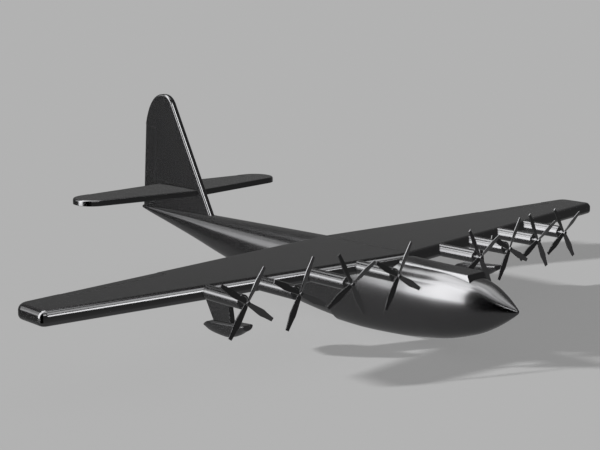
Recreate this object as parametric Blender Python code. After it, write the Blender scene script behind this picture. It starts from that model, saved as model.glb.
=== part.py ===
"""A very large eight-engined wooden flying boat of the 1940s, as a 1:10 scale model.

Metres. +X is the bow, +Y is port, +Z is up. The origin lies on the waterline, amidships.
"""
import math

import bmesh
import bpy
from mathutils import Matrix, Vector

for old in list(bpy.data.objects):
    bpy.data.objects.remove(old, do_unlink=True)

# Fits
GAP = 0.0003
HINGE_CLEARANCE = 0.006
HINGE_STEP = 0.003
HINGE_LIP_LEAST = 0.010
CUTTER_REACH = 0.3

# Meshes: how sharp an edge stays in smooth shading, how near two points are merged, how near two
# heights count as one, and how many facets a rounded edge gets for the square root of its radius
SHARP_ANGLE = math.radians(28)
MERGE_DISTANCE = 0.00002
SAME_PLACE = 0.00001
ROUND_FINENESS = 23

# Wing: a slab of constant thickness with well rounded edges
HALF_SPAN = 4.877
WING_TOP = 0.7948
WING_THICKNESS = 0.1685
WING_LEADING_ROOT = 0.5656
WING_LEADING_SLOPE = -0.1218
WING_TRAILING_ROOT = -1.0049
WING_TRAILING_SLOPE = 0.0859
WING_UPPER_ROUND = 0.0743
WING_LOWER_ROUND = 0.0496
WING_TIP_FRONT_ROUND = 0.085
WING_TIP_REAR_ROUND = 0.157
WING_CENTRE_GROOVE = 0.004

# Ailerons
AILERON_INNER = 2.92
AILERON_OUTER = 4.31
AILERON_CHORD = 0.18
AILERON_TRAVEL = math.radians(20)

# Tail
TAIL_HALF_SPAN = 1.808
TAIL_TOP = 1.0921
TAIL_THICKNESS = 0.0842
TAIL_LEADING_ROOT = -3.5857
TAIL_LEADING_SLOPE = -0.150
TAIL_TRAILING_ROOT = -4.5539
TAIL_TRAILING_SLOPE = 0.094
TAIL_UPPER_ROUND = 0.0277
TAIL_LOWER_ROUND = 0.004
TAIL_TIP_ROUND = 0.285
ELEVATOR_INNER = 0.07
ELEVATOR_OUTER = 1.40
ELEVATOR_CHORD = 0.208
ELEVATOR_TRAVEL = math.radians(22)

# Fin and rudder
FIN_THICKNESS = 0.0922
FIN_ROUND = 0.0258
FIN_FOOT = 0.6541
FIN_FRONT_X = -3.2487
FIN_SHOULDER_X = -4.1773
FIN_SHOULDER_Z = 2.3141
FIN_CREST_X = -4.4201
FIN_CREST_Z = 2.4638
FIN_REAR_SHOULDER_X = -4.8592
FIN_REAR_SHOULDER_Z = 2.0029
FIN_HEEL_X = -4.9632
FIN_FRONT_PULL = 0.9
FIN_REAR_BULGE = 0.089
FIN_CURVE_STEPS = 6
RUDDER_BOTTOM = 0.793
RUDDER_TOP = 1.942
RUDDER_CHORD = 0.2775
RUDDER_TRAVEL = math.radians(25)

# Engines, inner to outer on each side
ENGINE_Y = (0.758, 1.457, 2.185, 2.889)
ENGINE_Z = 0.7106
INNER_HUB_X = 1.0773
HUB_SWEEP = -0.1093
NACELLE_RADIUS = 0.0837
NACELLE_FRONT = -0.0624
NACELLE_RIM = 0.012
NACELLE_INTAKE_RADIUS = 0.0634
NACELLE_INTAKE_DEPTH = 0.030
SHAFT_BORE_RADIUS = 0.018
SHAFT_BORE_DEPTH = 0.030
NACELLE_INTO_WING = 0.089
ROUND_STEPS = 24

# Propellers
BLADE_COUNT = 4
PROPELLER_RADIUS = 0.434
HUB_RADIUS = 0.026
HUB_REAR = -0.050
HUB_FRONT = 0.034
HUB_RIM = 0.009
SHAFT_RADIUS = 0.012
SHAFT_REAR = -0.112
# How far the first blade leans from upright towards port, starboard outer to port outer
BLADE_ANGLES = (34.6, 27.3, 60.7, 29.5, 59.0, 28.3, 60.6, 55.2)

# Hull and the canopy block on its bow
CANOPY_TOP = 0.7185
CANOPY_BOTTOM = 0.555
CANOPY_HALF_WIDTH = 0.1586
CANOPY_REAR = 0.480
CANOPY_FRONT_TOP = 1.6253
CANOPY_FRONT_BOTTOM = 1.6997
CANOPY_ROUND = 0.012
HULL_POINTS = 32
HULL_STATION = 0.22

# Wing floats and their pylons
FLOAT_Y = 2.309
FLOAT_EDGE = 0.010
FLOAT_POINTS = 12
FLOAT_STATION = 0.075
FLOAT_POWER = 2.1
PYLON_THICKNESS = 0.072

GREY = {
    "hull": ((0.030, 0.030, 0.031), 0.22),
    "wing": ((0.034, 0.034, 0.035), 0.24),
    "tail": ((0.032, 0.032, 0.033), 0.24),
    "nacelle": ((0.028, 0.028, 0.029), 0.20),
    "propeller": ((0.026, 0.026, 0.027), 0.28),
    "float": ((0.030, 0.030, 0.031), 0.24),
}


def paint(name):
    """One dark enamel for each kind of piece."""
    material = bpy.data.materials.get(name)
    if material is None:
        colour, roughness = GREY[name]
        material = bpy.data.materials.new(name)
        material.use_nodes = True
        shader = material.node_tree.nodes["Principled BSDF"]
        shader.inputs["Base Color"].default_value = (*colour, 1.0)
        shader.inputs["Roughness"].default_value = roughness
        shader.inputs["Metallic"].default_value = 0.0
    return material


def finish_mesh(mesh, shell):
    """Closes the bmesh into the mesh with its faces outward and its round faces smooth."""
    bmesh.ops.recalc_face_normals(shell, faces=shell.faces)
    shell.to_mesh(mesh)
    shell.free()
    mesh.shade_smooth()
    mesh.set_sharp_from_angle(angle=SHARP_ANGLE)


def place(name, mesh, kind, location=(0, 0, 0), turn=None):
    piece = bpy.data.objects.new(name, mesh)
    bpy.context.scene.collection.objects.link(piece)
    piece.location = location
    if turn is not None:
        piece.rotation_euler = turn.to_euler()
    if kind is None:
        piece.hide_render = True
        piece.display_type = 'WIRE'
    elif not mesh.materials:
        mesh.materials.append(paint(kind))
    return piece


def cut(piece, cutter):
    """Takes the cutter's shape out of the piece."""
    difference = piece.modifiers.new("cut_" + cutter.name, 'BOOLEAN')
    difference.operation = 'DIFFERENCE'
    difference.solver = 'EXACT'
    difference.object = cutter


def arc(centre, radius, start, end, steps):
    """Points along an arc in degrees, both ends included."""
    points = []
    for i in range(steps + 1):
        angle = math.radians(start + (end - start) * i / steps)
        points.append((centre[0] + radius * math.cos(angle), centre[1] + radius * math.sin(angle)))
    return points


def corner(before, at, after, radius, steps):
    """An arc that rounds the corner between two straight edges of an outline."""
    at = Vector(at)
    to_before = (Vector(before) - at).normalized()
    to_after = (Vector(after) - at).normalized()
    half_angle = to_before.angle(to_after) / 2
    reach = radius / math.tan(half_angle)
    centre = at + (to_before + to_after).normalized() * radius / math.sin(half_angle)
    start = at + to_before * reach - centre
    end = at + to_after * reach - centre
    first = math.degrees(math.atan2(start.y, start.x))
    turn = (math.degrees(math.atan2(end.y, end.x)) - first + 180) % 360 - 180
    return arc(centre, radius, first, first + turn, steps)


def slab(name, outline, low, high, kind, upper_round, lower_round, is_root, root_round=0.0, turn=None):
    """A flat outline raised to a slab, with its upper and lower rims rounded except at its root."""
    mesh = bpy.data.meshes.new(name)
    shell = bmesh.new()
    rim = [shell.verts.new((x, y, low)) for x, y in outline]
    bottom = shell.faces.new(rim)
    raised = bmesh.ops.extrude_face_region(shell, geom=[bottom], use_keep_orig=True)
    for item in raised["geom"]:
        if isinstance(item, bmesh.types.BMVert):
            item.co.z = high
    bmesh.ops.recalc_face_normals(shell, faces=shell.faces)

    def rim_edges(height, wanted):
        found = []
        for edge in shell.edges:
            first, second = edge.verts
            if abs(first.co.z - height) > SAME_PLACE or abs(second.co.z - height) > SAME_PLACE:
                continue
            if is_root(first.co) and is_root(second.co):
                side = "root"
            else:
                side = "rim"
            if side == wanted:
                found.append(edge)
        return found

    rounds = ((high, upper_round, "rim"), (low, lower_round, "rim"), (high, root_round, "root"))
    for height, radius, wanted in rounds:
        if radius > 0:
            steps = max(1, round(math.sqrt(radius) * ROUND_FINENESS))
            bmesh.ops.bevel(shell, geom=rim_edges(height, wanted), offset=radius, segments=steps,
                            profile=0.5, affect='EDGES', clamp_overlap=True)
    finish_mesh(mesh, shell)
    return place(name, mesh, kind, turn=turn)


def turned(name, profile, steps=ROUND_STEPS):
    """A mesh turned about X from a profile of (x, radius) that starts and ends on the axis."""
    mesh = bpy.data.meshes.new(name)
    shell = bmesh.new()
    points = [shell.verts.new((x, 0, radius)) for x, radius in profile]
    lines = [shell.edges.new((points[i], points[i + 1])) for i in range(len(points) - 1)]
    bmesh.ops.spin(shell, geom=points + lines, cent=(0, 0, 0), axis=(1, 0, 0), angle=math.tau,
                   steps=steps, use_duplicate=False)
    bmesh.ops.remove_doubles(shell, verts=shell.verts, dist=MERGE_DISTANCE)
    finish_mesh(mesh, shell)
    return mesh


def skin(name, rings):
    """A closed mesh over rings of points, each joined to the next, with flat end caps."""
    mesh = bpy.data.meshes.new(name)
    shell = bmesh.new()
    rows = []
    for ring in rings:
        row = [shell.verts.new(point) for point in ring]
        rows.append(row)
    count = len(rows[0])
    for first, second in zip(rows, rows[1:]):
        for i in range(count):
            j = (i + 1) % count
            shell.faces.new((first[i], first[j], second[j], second[i]))
    shell.faces.new(rows[0])
    shell.faces.new(rows[-1])
    finish_mesh(mesh, shell)
    return mesh


def blend(table, x, column):
    """Reads a column of a table along x on a smooth curve through its rows."""
    index = 0
    while index < len(table) - 2 and x > table[index + 1][0]:
        index += 1
    slopes = []
    for k in (index, index + 1):
        below = table[max(k - 1, 0)]
        above = table[min(k + 1, len(table) - 1)]
        slopes.append((above[column] - below[column]) / (above[0] - below[0]))
    left = table[index]
    right = table[index + 1]
    width = right[0] - left[0]
    t = (x - left[0]) / width
    h00 = 2 * t ** 3 - 3 * t ** 2 + 1
    h10 = t ** 3 - 2 * t ** 2 + t
    h01 = -2 * t ** 3 + 3 * t ** 2
    h11 = t ** 3 - t ** 2
    return h00 * left[column] + h10 * width * slopes[0] + h01 * right[column] + h11 * width * slopes[1]


def oval(x, keel, top, half_beam, beam_height):
    """One cross-section of the hull: an oval whose upper and lower halves have their own fullness."""
    ring = []
    for i in range(HULL_POINTS):
        angle = math.tau * i / HULL_POINTS
        across = math.cos(angle)
        up = math.sin(angle)
        if up >= 0:
            power = HULL_UPPER_POWER
            height = top - beam_height
        else:
            power = HULL_LOWER_POWER
            height = beam_height - keel
        y = half_beam * math.copysign(abs(across) ** (2 / power), across)
        z = beam_height + height * math.copysign(abs(up) ** (2 / power), up)
        ring.append((x, y, z))
    return ring


# Hull stations: x, keel, top, half beam, height of the greatest beam
AFTER_HULL = (
    (-5.024, 0.649, 0.694, 0.020, 0.672),
    (-4.789, 0.602, 0.706, 0.064, 0.662),
    (-4.179, 0.480, 0.725, 0.134, 0.624),
    (-3.595, 0.355, 0.741, 0.193, 0.575),
    (-3.036, 0.223, 0.750, 0.248, 0.520),
    (-2.180, 0.030, 0.763, 0.312, 0.446),
    (-1.397, -0.149, 0.775, 0.352, 0.396),
    (-0.993, -0.205, 0.781, 0.364, 0.382),
    (-0.555, -0.248, 0.783, 0.372, 0.372),
)
FORE_HULL = (
    (-0.549, -0.281, 0.783, 0.372, 0.372),
    (-0.097, -0.289, 0.779, 0.377, 0.367),
    (0.528, -0.255, 0.707, 0.377, 0.367),
    (0.926, -0.205, 0.707, 0.375, 0.367),
    (1.306, -0.137, 0.703, 0.357, 0.372),
    (1.672, -0.020, 0.650, 0.297, 0.388),
    (1.848, 0.061, 0.595, 0.243, 0.396),
    (2.021, 0.166, 0.507, 0.168, 0.392),
    (2.188, 0.287, 0.418, 0.069, 0.369),
    (2.242, 0.332, 0.387, 0.030, 0.363),
    (2.256, 0.349, 0.374, 0.013, 0.362),
)
HULL_UPPER_POWER = 2.5
HULL_LOWER_POWER = 2.15


def hull_rings(table):
    """Cross-sections at even spacing, with every row of the table among them."""
    rings = []
    for left, right in zip(table, table[1:]):
        count = max(1, round((right[0] - left[0]) / HULL_STATION))
        for i in range(count):
            rings.append(hull_ring(table, left[0] + (right[0] - left[0]) * i / count))
    rings.append(hull_ring(table, table[-1][0]))
    return rings


def hull_ring(table, x):
    keel, top, half_beam, beam_height = (blend(table, x, column) for column in (1, 2, 3, 4))
    return oval(x, keel, top, half_beam, beam_height)


hull = place("hull", skin("hull", hull_rings(AFTER_HULL) + hull_rings(FORE_HULL)), "hull")


def wing_outline(side, grow=0.0):
    """One half of the wing seen from above, from the centreline to the rounded tip."""
    tip = HALF_SPAN + grow
    inner = GAP / 2 - grow
    lead_root = WING_LEADING_ROOT + grow
    trail_root = WING_TRAILING_ROOT - grow
    lead_tip = lead_root + WING_LEADING_SLOPE * tip
    trail_tip = trail_root + WING_TRAILING_SLOPE * tip
    front = corner((lead_root, 0), (lead_tip, tip), (trail_tip, tip), WING_TIP_FRONT_ROUND, 6)
    rear = corner((lead_tip, tip), (trail_tip, tip), (trail_root, 0), WING_TIP_REAR_ROUND, 6)
    points = [(lead_root + WING_LEADING_SLOPE * inner, inner)] + front + rear
    points.append((trail_root + WING_TRAILING_SLOPE * inner, inner))
    return [(x, side * y) for x, y in points]


def wing_slab(name, side, kind, grow=0.0):
    inner = GAP / 2 - grow
    return slab(name, wing_outline(side, grow), WING_TOP - WING_THICKNESS - grow, WING_TOP + grow, kind,
                WING_UPPER_ROUND, WING_LOWER_ROUND, lambda at: abs(at.y - side * inner) < SAME_PLACE,
                root_round=0.0 if kind is None else WING_CENTRE_GROOVE)


def hinged_profile(nose, chord, upper_round, lower_round):
    """Section of a control surface about its hinge: round nose forward, rounded trailing edge aft."""
    points = arc((0, 0), nose, -90, 90, 10)
    points += arc((-chord + upper_round, nose - upper_round), upper_round, 90, 180, 5)
    points += arc((-chord + lower_round, -nose + lower_round), lower_round, 180, 270, 4)
    return points


def cove_profile(nose, lip, chord, height):
    """Section of the bay that a control surface turns in: a round cove between two lips."""
    radius = nose + HINGE_CLEARANCE
    rise = math.degrees(math.acos(lip / radius))
    points = arc((0, 0), radius, -rise, rise, 10)
    points += [(lip, height), (-chord, height), (-chord, -height), (lip, -height)]
    return points


def along(name, profile, start, length, kind, location, turn):
    """A section carried along the hinge line, from start through length."""
    rings = [[(x, y, z) for x, z in profile] for y in (start, start + length)]
    return place(name, skin(name, rings), kind, location, turn)


def lip_forward(half_thickness, nose, travel):
    """How far ahead of the hinge the lips end, so that the deflected surface clears them."""
    needed = (nose + HINGE_CLEARANCE - half_thickness * math.cos(travel)) / math.sin(travel)
    return max(needed, HINGE_LIP_LEAST)


def control_surface(name, owner, kind, hinge, turn, side, length, chord, thickness, travel, rounds):
    """A control surface on its hinge, and the bay cut for it in the piece that carries it."""
    half_thickness = thickness / 2
    nose = half_thickness - HINGE_STEP
    lip = lip_forward(half_thickness, nose, travel)
    section = hinged_profile(nose, chord, *rounds)
    surface = along(name, section, 0.0, side * length, kind, hinge, turn)
    room = cove_profile(nose, lip, chord + CUTTER_REACH, thickness)
    bay = along(name + "_bay", room, -side * HINGE_CLEARANCE, side * (length + 2 * HINGE_CLEARANCE),
                None, hinge, turn)
    cut(owner, bay)
    return surface


for side, side_name in ((1, "port"), (-1, "starboard")):
    wing = wing_slab("wing_" + side_name, side, "wing")
    saddle = wing_slab("wing_room_" + side_name, side, None, grow=GAP)
    cut(hull, saddle)

    hinge_x = WING_TRAILING_ROOT + AILERON_CHORD + WING_TRAILING_SLOPE * AILERON_INNER
    sweep = math.atan(WING_TRAILING_SLOPE)
    control_surface("aileron_" + side_name, wing, "wing",
                    (hinge_x, side * AILERON_INNER, WING_TOP - WING_THICKNESS / 2),
                    Matrix.Rotation(-side * sweep, 4, 'Z'), side,
                    (AILERON_OUTER - AILERON_INNER) / math.cos(sweep), AILERON_CHORD * math.cos(sweep),
                    WING_THICKNESS, AILERON_TRAVEL, (WING_UPPER_ROUND, WING_LOWER_ROUND))


def engine_x(y):
    return INNER_HUB_X + HUB_SWEEP * (y - ENGINE_Y[0])


def nacelle_mesh(name, length):
    """A plain barrel with a rounded rim, a shallow intake and a bore for the propeller's shaft."""
    rim = arc((NACELLE_FRONT - NACELLE_RIM, NACELLE_RADIUS - NACELLE_RIM), NACELLE_RIM, 90, 0, 3)
    intake = NACELLE_FRONT - NACELLE_INTAKE_DEPTH
    bore = intake - SHAFT_BORE_DEPTH
    profile = [(-length, 0.0), (-length, NACELLE_RADIUS)] + rim
    profile += [(NACELLE_FRONT, NACELLE_INTAKE_RADIUS), (intake, NACELLE_INTAKE_RADIUS)]
    profile += [(intake, SHAFT_BORE_RADIUS), (bore, SHAFT_BORE_RADIUS), (bore, 0.0)]
    return turned(name, profile)


# Blade stations: distance from the shaft, chord, thickness, pitch in degrees
BLADE = (
    (0.012, 0.030, 0.015, 30.0),
    (0.050, 0.052, 0.015, 26.0),
    (0.080, 0.056, 0.014, 24.0),
    (0.178, 0.072, 0.014, 17.0),
    (0.255, 0.081, 0.014, 13.0),
    (0.307, 0.068, 0.013, 12.0),
    (0.357, 0.058, 0.013, 11.0),
    (PROPELLER_RADIUS, 0.045, 0.012, 10.0),
)
BLADE_EDGE = 0.0035


def blade_rings():
    """A blade that stands on +Z: a thick plate with chamfered edges, twisted along its length."""
    rings = []
    for height, chord, thickness, pitch in BLADE:
        half = chord / 2
        deep = thickness / 2
        flat = [(half, deep - BLADE_EDGE), (half - BLADE_EDGE, deep), (BLADE_EDGE - half, deep),
                (-half, deep - BLADE_EDGE), (-half, BLADE_EDGE - deep), (BLADE_EDGE - half, -deep),
                (half - BLADE_EDGE, -deep), (half, BLADE_EDGE - deep)]
        turn = math.radians(pitch)
        ring = []
        for along_chord, through in flat:
            x = -along_chord * math.sin(turn) + through * math.cos(turn)
            y = along_chord * math.cos(turn) + through * math.sin(turn)
            ring.append((x, y, height))
        rings.append(ring)
    return rings


def propeller_mesh():
    """The hub, its shaft and four blades joined into one body."""
    profile = [(SHAFT_REAR, 0.0), (SHAFT_REAR, SHAFT_RADIUS)]
    profile += [(HUB_REAR, SHAFT_RADIUS), (HUB_REAR, HUB_RADIUS)]
    profile += arc((HUB_FRONT - HUB_RIM, HUB_RADIUS - HUB_RIM), HUB_RIM, 90, 0, 3)
    profile.append((HUB_FRONT, 0.0))
    hub = place("propeller_pattern", turned("propeller_pattern", profile, 16), None)
    blade = skin("blade_pattern", blade_rings())
    for i in range(BLADE_COUNT):
        about_shaft = Matrix.Rotation(math.tau * i / BLADE_COUNT, 4, 'X')
        part = place("blade_pattern_%d" % i, blade, None, turn=about_shaft)
        union = hub.modifiers.new("blade_%d" % i, 'BOOLEAN')
        union.operation = 'UNION'
        union.solver = 'EXACT'
        union.object = part
    bpy.context.view_layer.update()
    solved = hub.evaluated_get(bpy.context.evaluated_depsgraph_get())
    mesh = bpy.data.meshes.new_from_object(solved)
    mesh.name = "propeller"
    for item in [thing for thing in bpy.data.objects if "_pattern" in thing.name]:
        bpy.data.objects.remove(item, do_unlink=True)
    mesh.materials.clear()
    mesh.materials.append(paint("propeller"))
    mesh.shade_smooth()
    mesh.set_sharp_from_angle(angle=SHARP_ANGLE)
    return mesh


propeller = propeller_mesh()
engines = [(-1, y) for y in reversed(ENGINE_Y)] + [(1, y) for y in ENGINE_Y]
for number, (side, y) in enumerate(engines, start=1):
    side_name = "port" if side > 0 else "starboard"
    hub_at = (engine_x(y), side * y, ENGINE_Z)
    wing_front = WING_LEADING_ROOT + WING_LEADING_SLOPE * y
    length = engine_x(y) - wing_front + NACELLE_INTO_WING
    nacelle = place("nacelle_%d" % number, nacelle_mesh("nacelle_%d" % number, length), "nacelle", hub_at)
    cut(nacelle, bpy.data.objects["wing_room_" + side_name])
    turn = Matrix.Rotation(-math.radians(BLADE_ANGLES[number - 1]), 4, 'X')
    place("propeller_%d" % number, propeller, "propeller", hub_at, turn)

# Canopy stations: x, how far the crown rises above the side edges
CANOPY = (
    (CANOPY_REAR, 0.036),
    (0.650, 0.034),
    (0.850, 0.024),
    (1.050, 0.010),
    (1.250, 0.0),
    (CANOPY_FRONT_TOP, 0.0),
)
CANOPY_CROWN_POINTS = 8
CANOPY_RAKE = (CANOPY_FRONT_BOTTOM - CANOPY_FRONT_TOP) / (CANOPY_TOP - CANOPY_BOTTOM)


def canopy_ring(x, crown, rake, low, high, half):
    """One cross-section of the canopy block: upright sides and a crowned top."""
    points = [(-half, low), (half, low)]
    for i in range(CANOPY_CROWN_POINTS + 1):
        y = half * (1 - 2 * i / CANOPY_CROWN_POINTS)
        points.append((y, high + crown * (1 - (y / half) ** 2)))
    return [(x + rake * (CANOPY_TOP - z), y, z) for y, z in points]


def canopy_body():
    """The block ahead of the wing, crowned where it meets the wing and raked at its front."""
    low, high, half = CANOPY_BOTTOM, CANOPY_TOP, CANOPY_HALF_WIDTH
    rings = [canopy_ring(x, crown, 0.0, low, high, half) for x, crown in CANOPY[:-1]]
    rings.append(canopy_ring(CANOPY_FRONT_TOP, 0.0, CANOPY_RAKE, low, high, half))
    piece = place("canopy", skin("canopy", rings), "hull")
    edge = piece.modifiers.new("edges", 'BEVEL')
    edge.width = CANOPY_ROUND
    edge.segments = 3
    edge.limit_method = 'ANGLE'
    return piece


def canopy_room():
    """The room that the block takes out of the hull."""
    low, high, half = CANOPY_BOTTOM - GAP, CANOPY_TOP + CUTTER_REACH, CANOPY_HALF_WIDTH + GAP
    rings = [canopy_ring(CANOPY_REAR - GAP, 0.0, 0.0, low, high, half),
             canopy_ring(CANOPY_FRONT_TOP + GAP, 0.0, CANOPY_RAKE, low, high, half)]
    return place("canopy_room", skin("canopy_room", rings), None)


canopy_block = canopy_body()
for side_name in ("port", "starboard"):
    cut(canopy_block, bpy.data.objects["wing_room_" + side_name])
cut(hull, canopy_room())
UPRIGHT = Matrix.Rotation(math.radians(90), 4, 'X')

# How far the fin's front and trailing edges run aft for each metre up
FRONT_RAKE = (FIN_SHOULDER_X - FIN_FRONT_X) / (FIN_SHOULDER_Z - FIN_FOOT)
REAR_RAKE = (FIN_REAR_SHOULDER_X - FIN_HEEL_X) / (FIN_REAR_SHOULDER_Z - FIN_FOOT)


def fin_outline():
    """The fin's side view: raked front, round crest, nearly upright trailing edge."""
    foot = (FIN_FRONT_X, FIN_FOOT)
    heel = (FIN_HEEL_X, FIN_FOOT)
    shoulder = (FIN_SHOULDER_X, FIN_SHOULDER_Z)
    crest = (FIN_CREST_X, FIN_CREST_Z)
    rear_shoulder = (FIN_REAR_SHOULDER_X, FIN_REAR_SHOULDER_Z)
    front_pull = FRONT_RAKE * (FIN_CREST_Z - FIN_SHOULDER_Z) * FIN_FRONT_PULL
    rear_pull = REAR_RAKE * (FIN_CREST_Z - FIN_REAR_SHOULDER_Z) + FIN_REAR_BULGE
    front_control = (FIN_SHOULDER_X + front_pull, FIN_CREST_Z)
    rear_control = (FIN_REAR_SHOULDER_X + rear_pull, FIN_CREST_Z)
    steps = [i / FIN_CURVE_STEPS for i in range(1, FIN_CURVE_STEPS + 1)]
    points = [foot, shoulder]
    points += [curve_point(shoulder, front_control, crest, t) for t in steps]
    points += [curve_point(crest, rear_control, rear_shoulder, t) for t in steps]
    points.append(heel)
    return points


def curve_point(start, control, end, t):
    """A point on the parabola that leaves start and reaches end with control between them."""
    return ((1 - t) ** 2 * start[0] + 2 * t * (1 - t) * control[0] + t ** 2 * end[0],
            (1 - t) ** 2 * start[1] + 2 * t * (1 - t) * control[1] + t ** 2 * end[1])


fin = slab("fin", fin_outline(), -FIN_THICKNESS / 2, FIN_THICKNESS / 2, "tail", FIN_ROUND, FIN_ROUND,
           lambda at: abs(at.y - FIN_FOOT) < SAME_PLACE, turn=UPRIGHT)
room_front = FIN_FRONT_X + 2 * GAP
room_rear = FIN_HEEL_X - CUTTER_REACH
room_low = FIN_FOOT - GAP
room_high = FIN_FOOT + CUTTER_REACH
room_front_high = room_front + FRONT_RAKE * (room_high - room_low)
room_outline = [(room_front, room_low), (room_front_high, room_high),
                (room_rear, room_high), (room_rear, room_low)]
fin_room = slab("fin_room", room_outline, -FIN_THICKNESS / 2 - GAP, FIN_THICKNESS / 2 + GAP, None, 0.0, 0.0,
                lambda at: False, turn=UPRIGHT)
cut(hull, fin_room)

rudder_lean = math.atan(REAR_RAKE)
rudder_hinge_x = FIN_HEEL_X + REAR_RAKE * (RUDDER_BOTTOM - FIN_FOOT) + RUDDER_CHORD / math.cos(rudder_lean)
control_surface("rudder", fin, "tail", (rudder_hinge_x, 0.0, RUDDER_BOTTOM),
                UPRIGHT @ Matrix.Rotation(-rudder_lean, 4, 'Z'), 1,
                (RUDDER_TOP - RUDDER_BOTTOM) / math.cos(rudder_lean), RUDDER_CHORD, FIN_THICKNESS,
                RUDDER_TRAVEL, (FIN_ROUND, FIN_ROUND))


def tail_outline(side):
    """One half of the tailplane seen from above, from the fin's side to its rounded tip."""
    inner = FIN_THICKNESS / 2 + GAP
    tip = TAIL_HALF_SPAN
    lead_tip = TAIL_LEADING_ROOT + TAIL_LEADING_SLOPE * tip
    trail_tip = TAIL_TRAILING_ROOT + TAIL_TRAILING_SLOPE * tip
    front = corner((TAIL_LEADING_ROOT, 0), (lead_tip, tip), (trail_tip, tip), TAIL_TIP_ROUND, 7)
    rear = corner((lead_tip, tip), (trail_tip, tip), (TAIL_TRAILING_ROOT, 0), TAIL_TIP_ROUND, 7)
    points = [(TAIL_LEADING_ROOT + TAIL_LEADING_SLOPE * inner, inner)] + front + rear
    points.append((TAIL_TRAILING_ROOT + TAIL_TRAILING_SLOPE * inner, inner))
    return [(x, side * y) for x, y in points]


for side, side_name in ((1, "port"), (-1, "starboard")):
    tailplane = slab("tailplane_" + side_name, tail_outline(side), TAIL_TOP - TAIL_THICKNESS, TAIL_TOP,
                     "tail", TAIL_UPPER_ROUND, TAIL_LOWER_ROUND,
                     lambda at: abs(at.y) < FIN_THICKNESS / 2 + 2 * GAP)
    hinge_x = TAIL_TRAILING_ROOT + ELEVATOR_CHORD + TAIL_TRAILING_SLOPE * ELEVATOR_INNER
    sweep = math.atan(TAIL_TRAILING_SLOPE)
    control_surface("elevator_" + side_name, tailplane, "tail",
                    (hinge_x, side * ELEVATOR_INNER, TAIL_TOP - TAIL_THICKNESS / 2),
                    Matrix.Rotation(-side * sweep, 4, 'Z'), side,
                    (ELEVATOR_OUTER - ELEVATOR_INNER) / math.cos(sweep), ELEVATOR_CHORD * math.cos(sweep),
                    TAIL_THICKNESS, ELEVATOR_TRAVEL, (TAIL_UPPER_ROUND, TAIL_LOWER_ROUND))

# Float stations: x, keel, deck, half beam
FLOAT = (
    (-0.585, 0.077, 0.099, 0.046),
    (-0.570, 0.065, 0.109, 0.052),
    (-0.510, 0.035, 0.145, 0.067),
    (-0.416, 0.019, 0.163, 0.083),
    (-0.277, 0.010, 0.175, 0.094),
    (-0.164, 0.009, 0.186, 0.095),
    (-0.050, 0.037, 0.197, 0.094),
    (0.050, 0.079, 0.206, 0.090),
    (0.129, 0.128, 0.214, 0.083),
    (0.170, 0.150, 0.218, 0.078),
    (0.177, 0.158, 0.212, 0.071),
)


def float_mesh(name):
    rings = []
    for left, right in zip(FLOAT, FLOAT[1:]):
        count = max(1, round((right[0] - left[0]) / FLOAT_STATION))
        for i in range(count):
            rings.append(float_ring(left[0] + (right[0] - left[0]) * i / count))
    rings.append(float_ring(FLOAT[-1][0]))
    return skin(name, rings)


def float_ring(x):
    """One cross-section: a flat deck with rounded edges over a full round bottom."""
    keel, deck, half_beam = (blend(FLOAT, x, column) for column in (1, 2, 3))
    edge = arc((half_beam - FLOAT_EDGE, deck - FLOAT_EDGE), FLOAT_EDGE, 90, 0, 3)
    ring = [(x, y, z) for y, z in edge]
    for i in range(1, FLOAT_POINTS):
        angle = math.pi * i / FLOAT_POINTS
        across = math.cos(angle)
        fullness = 2 / FLOAT_POWER
        y = half_beam * math.copysign(abs(across) ** fullness, across)
        z = deck - FLOAT_EDGE - (deck - FLOAT_EDGE - keel) * math.sin(angle) ** fullness
        ring.append((x, y, z))
    ring += [(x, -y, z) for y, z in reversed(edge)]
    return ring


# Pylon side view: the four corners, from the wing's underside down into the float
PYLON_FOOT_Z = 0.099
PYLON_FRONT_TOP_X = -0.1685
PYLON_FRONT_FOOT_X = -0.0743
PYLON_REAR_TOP_X = -0.6838
PYLON_REAR_FOOT_X = -0.3617


def pylon(name, kind, grow, y):
    """The tapering slab between wing and float; its grown copy makes the slot in the float's deck."""
    top = WING_TOP - WING_THICKNESS - GAP
    foot = PYLON_FOOT_Z - grow
    outline = [(PYLON_REAR_FOOT_X - grow, foot), (PYLON_FRONT_FOOT_X + grow, foot),
               (PYLON_FRONT_TOP_X + grow, top), (PYLON_REAR_TOP_X - grow, top)]
    half = PYLON_THICKNESS / 2 + grow
    rings = [[(x, y - half, z) for x, z in outline], [(x, y + half, z) for x, z in outline]]
    return place(name, skin(name, rings), kind)


for side, side_name in ((1, "port"), (-1, "starboard")):
    y = side * FLOAT_Y
    wing_float = place("float_" + side_name, float_mesh("float_" + side_name), "float", (0, y, 0))
    pylon("pylon_" + side_name, "float", 0.0, y)
    cut(wing_float, pylon("pylon_room_" + side_name, None, GAP, y))
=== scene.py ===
import math

import bpy
from mathutils import Matrix, Vector


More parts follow.
